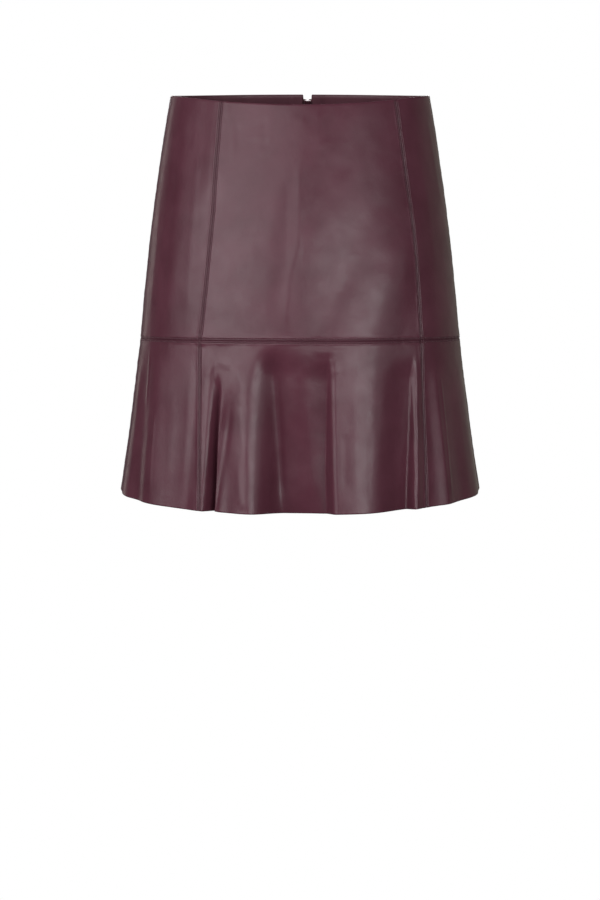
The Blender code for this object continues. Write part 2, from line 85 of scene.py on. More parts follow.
# Folds of the flounce: bearing at the hem, bearing at the flounce seam, height out of the
# section, width to the left, width to the right, start below the seam as a share of the
# flounce, slide of the crest towards rising bearing, and roundness, which is 1 for a sharp
# crease and 2 for a soft crest. Six of the front folds are a little narrower, deeper or turned
# here against their solids.
FOLDS = (
    (-84, -84, -0.001, 7, 6, 0.05, 0, 2),
    (-75, -78, 0.001, 7, 7, 0.05, 0, 2),
    (-64, -70.5, -0.0026, 7, 6, 0.06, 0, 2),
    (-54, -60.5, 0.0014, 6, 7, 0.02, 0, 2),
    (-43.5, -47, -0.001, 6, 7, 0.04, 0, 2),
    (-32, -33.4, 0.006, 6, 3, 0, 0.002, 2),
    (-29.2, -29, -0.0175, 1.9, 1.6, 0.17, 0, 1.6),
    (-16, -17.6, 0.0085, 8, 8, 0, 0, 2),
    (-5.9, -9.6, -0.025, 9.9, 14, 0, 0, 1.45),
    (8.6, 9.6, -0.021, 15, 2, 0.03, 0, 1.5),
    (21, 26, 0.003, 12, 12, 0, 0, 2),
    (37.2, 43.8, -0.0125, 18.5, 1.5, 0.05, 0, 1.8),
    (38.5, 45.2, 0.0045, 1.5, 3.4, 0.05, -0.003, 2),
    (46.5, 50, -0.002, 6, 6, 0.08, 0, 2),
    (53.6, 54, 0.0022, 5, 5, 0.08, 0, 1.5),
    (63, 64, -0.002, 7, 7, 0.1, 0, 2),
    (75, 76, 0.001, 7, 7, 0.06, 0, 2),
    (85, 85, -0.001, 7, 6, 0.05, 0, 2),
    (96, 95.5, 0.0015, 6, 6, 0.05, 0, 2),
    (104, 103.5, -0.008, 6, 8, 0.03, 0, 2),
    (113.5, 113, 0.014, 7, 9, 0.02, 0, 2),
    (124.5, 124, -0.015, 9, 3.2, 0.06, 0, 2),
    (127.4, 126.5, 0.008, 2.6, 9, 0.08, -0.004, 2),
    (137, 136, 0.012, 8, 9, 0.03, 0, 2),
    (149, 148.5, -0.019, 9, 8, 0.04, 0, 2),
    (160, 159.5, 0.015, 8, 5, 0.02, 0.003, 2),
    (166.5, 166, -0.012, 4, 6, 0.1, 0, 2),
    (176.8, 176.6, 0.01, 7, 7, 0.03, 0, 2),
    (187, 187, -0.016, 7, 9, 0.05, 0, 2),
    (199, 198.5, 0.018, 9, 8, 0.02, 0, 2),
    (209.5, 209, -0.015, 8, 3, 0.08, 0, 2),
    (212.3, 211.8, 0.009, 2.4, 8, 0.1, -0.004, 2),
    (222, 221.5, 0.011, 8, 9, 0.02, 0, 2),
    (233.5, 233.5, -0.016, 9, 7, 0.04, 0, 2),
    (244, 244.5, 0.011, 7, 7, 0.03, 0, 2),
    (253, 254, -0.007, 6, 6, 0.06, 0, 2),
    (262, 263, 0.0015, 5, 5, 0.04, 0, 2),
)

# Upright seams: bearing at the waist, halfway down the body, at the flounce seam, at the hem
SEAM_LINES = {
    "right side": (-90, -90, -90, -90),
    "front right": (-35.8, -35.5, -37.7, -32.4),
    "front left": (46, 47.8, 48.2, 43.4),
    "left side": (90, 90, 90, 90),
    "back centre": (176.6, 176.6, 176.6, 176.8),
    "right side again": (270, 270, 270, 270),
}
BACK_CENTRE = SEAM_LINES["back centre"][0]

# Cut pieces: body panel, flounce piece below it, the seam to their left, the seam to their right
PANELS = (
    ("front_side_right", "flounce_front_right", "right side", "front right"),
    ("front_centre", "flounce_front_centre", "front right", "front left"),
    ("front_side_left", "flounce_front_left", "front left", "left side"),
    ("back_left", "flounce_back_left", "left side", "back centre"),
    ("back_right", "flounce_back_right", "back centre", "right side again"),
)

# Creases in the leather, as soft ridges (height above 0) and troughs (below 0): bearing and
# drop at the start, bearing and drop at the end, height, half width, sideways bow
CREASES = (
    # Body, front: the long light streak and its tail, and the fine puckers under the waist
    (-0.4, 0.064, -1.2, 0.186, 0.00066, 0.0036, 0.001),
    (-4.8, 0.08, -6, 0.19, -0.0004, 0.0042, 0.001),
    (-1, 0.15, -4.8, 0.246, 0.0005, 0.0042, -0.002),
    (-5.8, 0.1, -9.5, 0.24, -0.00036, 0.006, 0.002),
    (7.8, 0.008, 8.2, 0.08, 0.00028, 0.005, 0),
    (13.5, 0.012, 15, 0.1, -0.00022, 0.0075, 0.001),
    (-35.8, -0.06, -35.6, 0.125, 0.0021, 0.014, 0),
    (-33.2, -0.012, -32.2, 0.026, 0.0007, 0.003, 0),
    (-30, 0.02, -28, 0.075, 0.0004, 0.0026, 0.001),
    (-26.5, 0.03, -25.5, 0.062, -0.00048, 0.003, 0),
    (-24, 0.045, -10.5, 0.046, 0.00044, 0.0024, 0.001),
    (-21, 0.034, -13, 0.03, -0.00042, 0.0026, 0.001),
    (-18, 0.06, -9, 0.056, 0.00042, 0.0028, -0.0015),
    (-15.5, 0.02, -14, 0.06, -0.00044, 0.004, 0),
    (-6, 0.024, 3, 0.03, 0.00034, 0.003, 0.0012),
    (-9.5, 0.095, -12.5, 0.16, 0.00022, 0.006, 0.002),
    (-17, 0.15, -18.5, 0.235, 0.00022, 0.007, -0.002),
    (-25, 0.17, -27, 0.24, -0.00024, 0.006, 0.0015),
    (16, 0.11, 13, 0.215, 0.00018, 0.007, -0.002),
    (23, 0.05, 26, 0.13, 0.00016, 0.0065, 0.002),
    (52, 0.08, 19, 0.29, 0.00055, 0.019, 0.0015),
    (40, 0.108, 9.5, 0.262, 0.00055, 0.0135, -0.008),
    # Body, front side panels
    (-62.5, 0.03, -60, 0.245, -0.0006, 0.0075, 0),
    (-46.5, 0.04, -45, 0.25, 0.0003, 0.0045, 0.001),
    (-40, 0.253, -25, 0.2515, 0.0005, 0.0078, 0),
    (-53, 0.02, -52, 0.06, -0.0002, 0.004, 0),
    (-72, 0.11, -70, 0.24, 0.0003, 0.005, 0.001),
    (58, 0.06, 61, 0.19, 0.00022, 0.006, 0.001),
    (71, 0.02, 74, 0.12, 0.0003, 0.005, -0.001),
    # Flounce, front: level puckers at the top of the shallow valley, and the hooked crease
    (4, 0.2634, 18, 0.2634, 0.00036, 0.0026, -0.0003),
    (4, 0.271, 14.5, 0.2706, -0.00036, 0.0022, 0.0004),
    (6, 0.2746, 14, 0.2736, 0.0004, 0.0022, 0.0003),
    (10.2, 0.289, 13.8, 0.28, 0.0005, 0.0022, 0.001),
    (10.3, 0.283, 10.4, 0.33, -0.0007, 0.0013, 0),
    (10.4, 0.32, 9.7, 0.428, -0.0006, 0.0013, 0.0003),
    (-10.2, 0.257, -6.9, 0.43, -0.0032, 0.0088, 0),
    (-7.4, 0.294, -4.6, 0.274, 0.0005, 0.003, -0.001),
    (-1.5, 0.295, 3.8, 0.276, 0.00035, 0.004, 0.001),
    (2, 0.31, 3.4, 0.42, 0.0005, 0.005, 0.0015),
    (-2.5, 0.32, -2, 0.425, -0.00035, 0.005, -0.0015),
    # Flounce, front: ridge beside the valley, wavy, and the arc over the deep trough
    (-21.2, 0.276, -19, 0.325, 0.0007, 0.005, 0.0014),
    (-19.2, 0.318, -17, 0.365, 0.0008, 0.005, -0.0014),
    (-17.2, 0.355, -19.2, 0.395, 0.0007, 0.0048, 0.001),
    (-19, 0.385, -16.4, 0.428, 0.0008, 0.0048, -0.001),
    (-24, 0.296, -31, 0.54, -0.004, 0.0082, 0),
    (-14, 0.45, 9, 0.452, -0.004, 0.03, 0),
    (0.5, 0.3, 0.5, 0.7, -0.0035, 0.02, 0),
    (-38.6, 0.26, -34, 0.43, -0.0007, 0.0065, 0),
    (-34.4, 0.29, -30.6, 0.273, 0.0005, 0.0034, -0.0016),
    (-30.6, 0.2725, -24, 0.279, 0.00045, 0.0034, -0.0012),
    (14.6, 0.345, 13.6, 0.41, -0.0004, 0.003, 0.0008),
    (18.4, 0.296, 17, 0.42, 0.00045, 0.0048, 0.0014),
    (23.5, 0.34, 21, 0.424, -0.0004, 0.004, -0.001),
    (44, 0.286, 41.2, 0.406, -0.00045, 0.0014, 0.0006),
    (40, 0.37, 37, 0.424, 0.00045, 0.0018, 0.0005),
    # Flounce, front sides: thin bright lines and soft flats
    (57.2, 0.29, 57, 0.36, 0.00045, 0.0018, 0.0008),
    (57, 0.35, 55.2, 0.424, 0.00055, 0.0018, 0.0004),
    (-67.4, 0.26, -65.2, 0.33, 0.00045, 0.0022, 0.0006),
    (-58, 0.325, -54.6, 0.42, 0.00045, 0.0026, -0.001),
    (-48.5, 0.3, -47, 0.41, 0.00035, 0.006, 0.0015),
    (-41, 0.29, -40, 0.415, 0.0004, 0.0045, 0.001),
    # Back: the same kinds of streak, pucker and crease
    (118, 0.04, 124, 0.19, 0.00034, 0.006, 0.002),
    (131, 0.1, 128, 0.235, -0.0003, 0.0065, -0.0015),
    (146, 0.02, 147.5, 0.075, 0.00022, 0.003, 0.0008),
    (152, 0.12, 160, 0.24, 0.00034, 0.0065, 0.002),
    (166, 0.06, 164, 0.2, -0.00026, 0.006, 0.001),
    (186.5, 0.05, 189, 0.17, 0.00028, 0.005, -0.001),
    (197, 0.03, 210, 0.028, 0.00016, 0.0026, 0.001),
    (199, 0.13, 193, 0.245, 0.00036, 0.0065, -0.002),
    (221, 0.09, 226, 0.225, -0.00034, 0.007, 0.001),
    (237, 0.05, 233, 0.19, 0.00032, 0.006, 0.0015),
    (250, 0.12, 254, 0.24, 0.0003, 0.006, -0.001),
    (100, 0.1, 103, 0.23, 0.0003, 0.006, 0.001),
    (108, 0.264, 118, 0.265, -0.0004, 0.0024, 0.0006),
    (121, 0.27, 131, 0.269, 0.0004, 0.0022, -0.0006),
    (126, 0.286, 126.4, 0.425, -0.00055, 0.0014, 0.0004),
    (146, 0.265, 155, 0.266, -0.0004, 0.0024, 0.0006),
    (159, 0.29, 161.5, 0.42, 0.0005, 0.0036, 0.001),
    (183, 0.267, 192, 0.266, -0.0004, 0.0024, -0.0006),
    (198, 0.29, 196.5, 0.42, 0.00055, 0.004, 0.0012),
    (211.3, 0.288, 211, 0.425, -0.00055, 0.0014, 0.0004),
    (222, 0.276, 221, 0.415, 0.00045, 0.0045, -0.0012),
    (229, 0.265, 238, 0.266, -0.0004, 0.0024, 0.0006),
    (246, 0.29, 244.5, 0.42, 0.00045, 0.004, 0.001),
    (138, 0.28, 136, 0.415, 0.0005, 0.0045, -0.0012),
    (113, 0.28, 114, 0.415, 0.0005, 0.0042, 0.001),
)
CREASE_FADE = 0.22
CREASE_REACH = 3.0

# Irregular surface of the hide: feature size, height
HIDE_WAVES = (
    (0.055, 0.00055),
    (0.021, 0.00022),
    (0.009, 0.00005),
)
SWAY = 0.35
SWAY_SIZE = 0.045

# Relief beside a sewn seam, as distance from it, half width and height of each form: sunk
# groove, raised band, dented stitch line and bulge outside it
STITCH_LINE = 0.002
SEAM_FORMS = (
    (0.0, 0.0007, -0.0004),
    (0.0011, 0.0005, 0.00014),
    (STITCH_LINE, 0.0005, -0.00022),
    (0.0032, 0.0008, 0.00018),
)
PUCKER_HEIGHT = 0.00045
PUCKER_LENGTH = 0.0052
PUCKER_REACH = 0.0055

# Leather pressed by the sewing: half width and fade of the band, how far it is pressed between
# its rows, half width of a row, and the tone, darkening and dulling. The darker tone is partly
# the pressed leather's own colour and partly painted shade in the seam grooves and stitch rows
SEWN_HALF = 0.0019
SEWN_FADE = 0.0005
PRESSED_SHARE = 0.45
ROW_HALF = 0.0005
SEWN_PRESS_AND_SHADE_TONE = (0.042, 0.011, 0.018, 1.0)
SEWN_PRESS_AND_SHADE_DARKER = 0.78
SEWN_DULLER = 0.2

# Mesh spacing: strips beside a seam, under the waist and over the hem, even steps between them,
# and closer columns on the flank of a narrow fold
EDGE_STEPS = np.array((0.0, 0.0004, 0.0008, 0.0012, 0.0016, 0.002, 0.0023, 0.0026, 0.003,
                       0.0035, 0.004, 0.0048, 0.006, 0.0075, 0.009))
WAIST_STEPS = np.array((0.0, 0.0003, 0.0008, 0.0016, 0.003, 0.006))
HEM_STEPS = np.array((0.0, 0.0008, 0.0025))
BODY_STEP = 0.003
ROW_STEP = 0.0034
FLOUNCE_STEP = 0.0024
FLANK_COLUMNS = 9.0
FOLD_SAMPLES = 4000
LEAST_COLUMNS = 4

# Shells: thickness of the leather, and how round its cut edges are
SHELL = 0.0009
EDGE_ROUND = 0.45
WAIST_ROLL = 0.0006
WAIST_ROLL_HEIGHT = 0.0016

# Seam allowances, as wide as EDGE_STEPS, pressed open and glued inside: thickness, and gap to
# the panel
ALLOWANCE_WALL = 0.0006
ALLOWANCE_GAP = 0.00005

# Back darts: bearing, and drop of the point where each ends. The groove fades out over a share
# of its length, and close mesh columns lie within reach of it.
DARTS = (
    (139.0, 0.092),
    (214.5, 0.092),
)
DART_DEPTH = 0.00045
DART_HALF = 0.0007
DART_FADE = 0.25
DART_MIDDLE = 0.05
DART_REACH = 0.0035
DART_STEPS = np.array((-0.003, -0.0015, -0.0008, 0.0, 0.0008, 0.0015, 0.003))

# Facing inside the waist, as its solid has it, which stands off over the zip tape
FACING_TOP = 0.0008
FACING_MIDDLE = 0.02
FACING_HEIGHT = 0.045
FACING_DEPTH = LEATHER_WALL + LAYER_GAP
FACING_EDGE = 0.0055
TAPE_STANDOFF = TAPE_WALL + LAYER_GAP
STANDOFF_START, STANDOFF_END = 0.013, 0.02
STANDOFF_COLUMNS = 41
FACING_STEP = 0.004
FACING_ROWS = 14

# Concealed zip, as its solids have it, and its coil of teeth
TAPE_WIDTH = 0.0105
TAPE_INNER_EDGE = 0.0004
TAPE_TOP = 0.008
TAPE_BOTTOM = 0.19
TAPE_COLUMNS = 8
TAPE_ROWS = 60
NOTCH_HALF = 0.00425
NOTCH_DEPTH = 0.0053
NOTCH_RAMP = 0.0005
SLOT_HALF = 0.0015
SLOT_BOTTOM = 0.0066
NOTCH_STEPS = np.array((0.0, 0.0008, 0.0013, 0.0016, 0.0019, 0.0024, 0.003, 0.0036, 0.0039,
                        0.0042, 0.0046, 0.0052, 0.006, 0.0075, 0.009))
COIL_TOP = 0.015
COIL_BOTTOM = 0.185
COIL_PITCH = 0.0011
COIL_CENTRE = 0.0013
COIL_HALF_WIDTH = 0.0012
COIL_HALF_DEPTH = 0.0006
COIL_WIRE = 0.00024
COIL_SAMPLES = 12
WIRE_SIDES = 5

# Stitches: pitch, length, thread radius, and the shape of one stitch from end to end
STITCH_PITCH = 0.0032
STITCH_LENGTH = 0.0026
THREAD_RADIUS = 0.00024
STITCH_PLACES = np.array((-0.5, -0.36, 0.0, 0.36, 0.5))
STITCH_LIFTS = np.array((-0.00022, 0.00008, 0.00014, 0.00008, -0.00022))
STITCH_SWELL = np.array((0.6, 1.0, 1.05, 1.0, 0.6))
ROW_SAMPLES = 1600
UPRIGHT_SAMPLES = 200
LEVEL_SAMPLES = 300
PROBE_TURN = 0.15
PROBE_DROP = 0.0004

# Camera: place, drop of the point it looks at, lens and sensor in millimetres, and reach
CAMERA_PLACE = (0.0, -3.6, -0.05)
CAMERA_AIM_DROP = 0.3773
CAMERA_LENS = 135.12
CAMERA_SENSOR = 36.0
CAMERA_REACH = 100.0

# Lights: name, azimuth and elevation from the skirt's middle, distance, width, height, power in
# watts and colour
WHITE = (1.0, 1.0, 1.0)
LIGHT_TARGET = (0.0, 0.0, -0.25)
LIGHTS = (
    ("key", -37, 27, 2.6, 3.4, 1.7, 40, WHITE),
    ("key_core", -46.5, 7.5, 2.65, 2.6, 0.52, 15.4, WHITE),
    ("key_edge", -82, 7.5, 2.6, 0.85, 0.52, 2.4, WHITE),
    ("fill", 26, 9.0, 2.6, 2.6, 0.52, 15.5, WHITE),
    ("fill_core", 32, 7.4, 2.55, 1.7, 0.54, 9.6, WHITE),
    ("fill_edge", 64, 5.6, 2.6, 1.0, 0.52, 2.6, WHITE),
    ("rim_left", 138, 5, 2.6, 3.4, 1.6, 3.4, (1.0, 0.98, 0.78)),
    ("rim_right", -140, 5, 2.2, 0.3, 1.8, 2, (1.0, 0.92, 0.85)),
    ("back", 181, 24, 2.6, 1.5, 1.5, 40, WHITE),
)
WORLD_STRENGTH = 0.06

# Stage: radius of the white room, the floor's share of it, and how far the floor lies below
STAGE_RADIUS = 9.0
FLOOR_SHARE = 0.9
FLOOR_DROP = 1.0


def through(rows, column, at):
    """Smooth curve through one column of a table, read at the given places."""
    place = rows[:, 0]
    value = rows[:, column]
    slope = np.gradient(value, place)
    k = np.clip(np.searchsorted(place, at) - 1, 0, len(place) - 2)
    span = place[k + 1] - place[k]
    t = (at - place[k]) / span
    near = (1 + 2 * t) * (1 - t) ** 2 * value[k] + t * (1 - t) ** 2 * span * slope[k]
    far = t * t * (3 - 2 * t) * value[k + 1] + t * t * (t - 1) * span * slope[k + 1]
    return near + far


def dipping_line(bearing, side, front, back):
    """Drop of a line round the skirt that differs at its sides, front and back centres."""
    facing_front = np.cos(np.radians(bearing))
    centre = np.where(facing_front > 0, front, back)
    return side + (centre - side) * np.abs(facing_front)


def waist_line(bearing):
    facing_front = np.cos(np.radians(bearing))
    return np.where(facing_front > 0, FRONT_DIP, -BACK_RISE) * facing_front ** 2


def flounce_seam(bearing):
    return dipping_line(bearing, SEAM_SIDE, SEAM_FRONT, SEAM_BACK)


def hem_line(bearing):
    return dipping_line(bearing, HEM_SIDE, HEM_FRONT, HEM_BACK)


def fold_shape(offset, left, right, roundness=2.0):
    """Bump of height 1 that reaches zero at its own width on each side."""
    share = np.abs(offset) / np.where(offset < 0, left, right)
    return np.maximum(0.0, 1.0 - share ** roundness) ** 2


def ease(share):
    """Soft start and soft end between 0 and 1."""
    share = np.clip(share, 0.0, 1.0)
    return share * share * (3 - 2 * share)


def turn_between(bearing, centre):
    return (bearing - centre + 180.0) % 360.0 - 180.0


def folds_at(bearing, fall):
    """Height of the flounce's folds and sideways slide of their crests."""
    push = np.zeros_like(fall)
    slide = np.zeros_like(fall)
    for at_hem, at_seam, height, left, right, start, over, roundness in FOLDS:
        along = np.clip((fall - start) / (1 - start), 0, FOLD_OVERRUN)
        grown = along ** FOLD_EASE * ease(along / FOLD_ONSET)
        centre = at_seam + (at_hem - at_seam) * np.clip(fall, 0, FOLD_OVERRUN)
        shape = fold_shape(turn_between(bearing, centre), left, right, roundness) * grown
        push += height * shape
        slide += over * shape
    return push, slide


def drapes_at(bearing, drop):
    """Height of the soft drapes that slant down the body."""
    push = np.zeros_like(drop)
    for at_start, start_drop, at_seam, height, left, right in DRAPES:
        inside = np.clip((drop - start_drop) / (flounce_seam(bearing) - start_drop), 0, 1)
        centre = at_start + (at_seam - at_start) * inside
        grown = ease(inside * DRAPE_ONSET)
        push += height * fold_shape(turn_between(bearing, centre), left, right) * grown
    return push


def skin(bearing, drop, depth=0.0, sway=0.0):
    """Points of the outer face at a bearing and drop, or of a face that lies deeper."""
    bearing, drop = np.broadcast_arrays(np.asarray(bearing, float), np.asarray(drop, float))
    side = np.sin(np.radians(bearing))
    front = np.cos(np.radians(bearing))
    half_width = through(SECTIONS, 1, drop)
    reach = np.where(front > 0, through(SECTIONS, 2, drop), through(SECTIONS, 3, drop))
    out_x, out_y = side / half_width, -front / reach
    size = np.hypot(out_x, out_y)
    out_x, out_y = out_x / size, out_y / size
    top = flounce_seam(bearing)
    fall = (drop - top) / (hem_line(bearing) - top)
    push, slide = folds_at(bearing + sway, fall)
    lift = HEM_LIFT * push * np.clip(fall, 0, 1)
    push = push + drapes_at(bearing, drop) - depth
    x = half_width * side + out_x * push - out_y * slide
    y = -reach * front + out_y * push + out_x * slide
    return np.stack([x, y, lift - drop], -1)


def lengths(vectors):
    return np.linalg.norm(vectors, axis=-1)


def unit(vectors):
    return vectors / lengths(vectors)[..., None]


def degrees_for(length, bearing, drop):
    """Turn that moves a point of the outer face by a length along a level line."""
    step = 0.5
    before = skin(bearing - step, drop)
    after = skin(bearing + step, drop)
    return length * 2 * step / lengths(after - before)


def seam_in_body(name, share):
    """Bearing of an upright seam at a share of the way from the waist to the flounce."""
    waist, middle, seam, _ = SEAM_LINES[name]
    return (waist * (1 - share) * (1 - 2 * share) + middle * 4 * share * (1 - share)
            + seam * share * (2 * share - 1))


def seam_in_flounce(name, share):
    _, _, seam, hem = SEAM_LINES[name]
    return seam + (hem - seam) * share


def seam_bearing(name, bearing, drop):
    """Bearing of an upright seam at the height of a point."""
    top, middle, hem = waist_line(bearing), flounce_seam(bearing), hem_line(bearing)
    in_body = seam_in_body(name, np.clip((drop - top) / (middle - top), 0, 1))
    in_flounce = seam_in_flounce(name, np.clip((drop - middle) / (hem - middle), 0, 1))
    return np.where(drop < middle, in_body, in_flounce)


def seam_distances(bearing, drop):
    """Distance of each point from every upright seam in turn, and then from the flounce seam."""
    metre = 1.0 / degrees_for(1.0, bearing, drop)
    for name in SEAM_LINES:
        if name != "right side again":
            yield np.abs(turn_between(bearing, seam_bearing(name, bearing, drop))) * metre
    yield np.abs(drop - flounce_seam(bearing))


def from_back_centre(bearing, drop):
    """Distance along the cloth from the back centre seam."""
    return np.abs(bearing - BACK_CENTRE) / degrees_for(1.0, BACK_CENTRE, drop)


def wander(points, size):
    """Smooth irregular value between about -1 and 1 at each point."""
    flat = (points.reshape(-1, 3) / size).tolist()
    return np.array([noise.noise(spot) for spot in flat]).reshape(points.shape[:-1])


def seam_relief(distance, along):
    """Height beside a sewn seam: its forms, and puckers along it."""
    relief = PUCKER_HEIGHT * along * np.exp(-(distance / PUCKER_REACH) ** 2)
    for centre, half, height in SEAM_FORMS:
        relief += height * np.exp(-((distance - centre) / half) ** 2)
    return relief


def crease_scales():
    """Length of one degree at the middle of each crease."""
    rows = np.array(CREASES)
    return 1.0 / degrees_for(1.0, (rows[:, 0] + rows[:, 2]) / 2, (rows[:, 1] + rows[:, 3]) / 2)


CREASE_SCALES = crease_scales()


def crease_relief(bearing, drop):
    """Height of all the creases at each point."""
    relief = np.zeros_like(drop)
    for row, metre in zip(CREASES, CREASE_SCALES):
        start, start_drop, end, end_drop, height, half, bow = row
        run = np.array(((end - start) * metre, end_drop - start_drop))
        length = np.hypot(*run)
        x = turn_between(bearing, start) * metre
        y = drop - start_drop
        along = (x * run[0] + y * run[1]) / length ** 2
        inside = np.clip(along, 0, 1)
        aside = (x * run[1] - y * run[0]) / length - bow * 4 * inside * (1 - inside)
        past = (along - inside) * length
        near = (np.abs(aside) < CREASE_REACH * half) & (np.abs(past) < CREASE_REACH * half)
        ends = ease(np.minimum(inside, 1 - inside) / CREASE_FADE)
        shape = np.exp(-(aside / half) ** 2 - (past / half) ** 2) * ends
        relief += np.where(near, height * shape, 0.0)
    return relief


def dart_relief(bearing, drop):
    """Height of the sewn grooves of the back darts."""
    relief = np.zeros_like(drop)
    for centre, point in DARTS:
        distance = np.abs(turn_between(bearing, centre)) / degrees_for(1.0, centre, DART_MIDDLE)
        open_share = ease((point - drop) / (DART_FADE * point))
        relief -= DART_DEPTH * np.exp(-(distance / DART_HALF) ** 2) * open_share
    return relief


def relief_at(bearing, drop, sewn):
    """Height of the fine forms over the plain surface, with or without those of the seams."""
    base = skin(bearing, drop)
    relief = crease_relief(bearing, drop)
    for size, height in HIDE_WAVES:
        relief += height * wander(base, size)
    if not sewn:
        return relief
    relief += dart_relief(bearing, drop)
    along = wander(base, PUCKER_LENGTH)
    for distance in seam_distances(bearing, drop):
        relief += seam_relief(distance, along)
    above = drop - waist_line(bearing)
    relief -= WAIST_ROLL * np.clip(1 - above / WAIST_ROLL_HEIGHT, 0, 1) ** 2
    return relief


def press_and_shade_share(bearing, drop):
    """1 in the groove and stitch rows of a seam, less between them, and 0 elsewhere: the bands
    whose darker colour is partly pressed leather and partly painted shade.
    """
    share = np.zeros_like(drop)
    for distance in seam_distances(bearing, drop):
        outside = np.maximum(distance - SEWN_HALF, 0.0)
        share = np.maximum(share, PRESSED_SHARE * np.exp(-(outside / SEWN_FADE) ** 2))
        for row in (0.0, STITCH_LINE):
            share = np.maximum(share, np.exp(-((distance - row) / ROW_HALF) ** 2))
    return share


def dressed(bearing, drop, sewn=True):
    """Points of the finished outer face, with its fine forms."""
    bearing, drop = np.broadcast_arrays(np.asarray(bearing, float), np.asarray(drop, float))
    fall = np.clip((drop - flounce_seam(bearing)) / (HEM_FRONT - SEAM_FRONT), 0, 1)
    sway = SWAY * wander(skin(bearing, drop), SWAY_SIZE) * fall
    return skin(bearing, drop, -relief_at(bearing, drop, sewn), sway)


def normals_of(points):
    """Unit normals of a grid whose rows run down and whose columns run to rising bearing."""
    down = np.gradient(points, axis=0)
    across = np.gradient(points, axis=1)
    return unit(np.cross(down, across))


def shares_between(first, last, length, step):
    """Shares of a length: close strips at both ends and even steps between them."""
    start = first[-1]
    end = length - last[-1]
    count = max(2, round((end - start) / step))
    middle = np.linspace(start, end, count + 1)[1:-1]
    return np.concatenate([first, middle, (length - last)[::-1]]) / length


def across_rows(left, right, drop, first, last, middle):
    """Bearings of a grid from one seam to another, with strips of fixed width beside each."""
    inset = degrees_for(SEAM_GAP / 2, left, drop)
    left, right = left + inset, right - inset
    near = left + degrees_for(first[None, :], left, drop)
    far = right - degrees_for(last[::-1][None, :], right, drop)
    between = near[:, -1:] + (far[:, :1] - near[:, -1:]) * middle[None, :]
    return np.concatenate([near, between, far], axis=1)


def fold_shares(left, right):
    """Shares across a flounce piece, closer together where a fold is narrow."""
    bearing = np.linspace(left, right, FOLD_SAMPLES)
    even = degrees_for(FLOUNCE_STEP, (left + right) / 2, HEM_FRONT)
    spacing = np.full_like(bearing, even)
    for at_hem, _, _, wide_left, wide_right, _, _, _ in FOLDS:
        offset = turn_between(bearing, at_hem)
        width = np.where(offset < 0, wide_left, wide_right)
        closer = np.minimum(spacing, width / FLANK_COLUMNS)
        spacing = np.where(np.abs(offset) < width, closer, spacing)
    passed = np.concatenate([[0.0], np.cumsum(np.diff(bearing) / spacing[1:])])
    count = max(LEAST_COLUMNS, round(passed[-1]))
    places = np.interp(np.linspace(0, passed[-1], count + 1), passed, bearing)
    return ((places - left) / (right - left))[1:-1]


def object_of(name, data):
    """Object in the scene with a mesh, a light or a camera."""
    made = bpy.data.objects.new(name, data)
    bpy.context.scene.collection.objects.link(made)
    return made


def mesh_object(name, vertices, faces, looks, slots=None):
    """Smooth mesh in the scene, with a material number for each face."""
    mesh = bpy.data.meshes.new(name)
    mesh.from_pydata(vertices.tolist(), [], faces)
    for look in looks:
        mesh.materials.append(look)
    if slots is not None:
        mesh.polygons.foreach_set("material_index", slots.astype(np.int32))
    mesh.shade_smooth()
    mesh.update()
    return object_of(name, mesh)


def grid_faces(rows, columns, start=0, flip=False):
    """Quads of a grid whose first vertex has the given number."""
    index = start + np.arange(rows * columns).reshape(rows, columns)
    corners = (index[:-1, :-1], index[1:, :-1], index[1:, 1:], index[:-1, 1:])
    quads = np.stack(corners, -1).reshape(-1, 4)
    return quads[:, ::-1] if flip else quads


def border(rows, columns):
    """Grid indices round the border: top left to right, down, back along the foot, and up."""
    index = np.arange(rows * columns).reshape(rows, columns)
    return np.concatenate([index[0, :-1], index[:-1, -1], index[-1, :0:-1], index[:0:-1, 0]])


def closed_shell(name, outer, inner, looks):
    """One closed sheet from two grids, with a round edge: outer, inner and edge materials."""
    rows, columns = outer.shape[:2]
    count = rows * columns
    loop = border(rows, columns)
    next_row = np.clip(np.arange(rows), 1, rows - 2)
    next_column = np.clip(np.arange(columns), 1, columns - 2)
    inset = outer[next_row][:, next_column]
    away = unit((outer - inset).reshape(-1, 3)[loop])
    outer_flat, inner_flat = outer.reshape(-1, 3), inner.reshape(-1, 3)
    wall = lengths(outer_flat[loop] - inner_flat[loop])[:, None]
    ridge = (outer_flat[loop] + inner_flat[loop]) / 2 + away * wall * EDGE_ROUND
    ridge_index = 2 * count + np.arange(len(loop))
    following = np.roll(loop, -1)
    next_ridge = np.roll(ridge_index, -1)
    upper = np.stack([loop, following, next_ridge, ridge_index], -1)
    lower = np.stack([ridge_index, next_ridge, following + count, loop + count], -1)
    outside, inside = grid_faces(rows, columns), grid_faces(rows, columns, count, True)
    vertices = np.concatenate([outer_flat, inner_flat, ridge])
    faces = np.concatenate([outside, inside, upper, lower]).tolist()
    slots = np.repeat((0, 1, 2), (len(outside), len(inside), 2 * len(loop)))
    return mesh_object(name, vertices, faces, looks, slots)


def flat_size(points):
    """Width, length and area of the cut that a grid of cloth was made from."""
    across = lengths(np.diff(points, axis=1)).sum(1).max()
    along = lengths(np.diff(points, axis=0)).sum(0).max()
    top_left, top_right = points[:-1, :-1], points[:-1, 1:]
    foot_left, foot_right = points[1:, :-1], points[1:, 1:]
    upper = np.cross(foot_left - top_left, top_right - top_left)
    lower = np.cross(top_right - foot_right, foot_left - foot_right)
    area = (lengths(upper).sum() + lengths(lower).sum()) / 2
    return float(across), float(along), float(area)


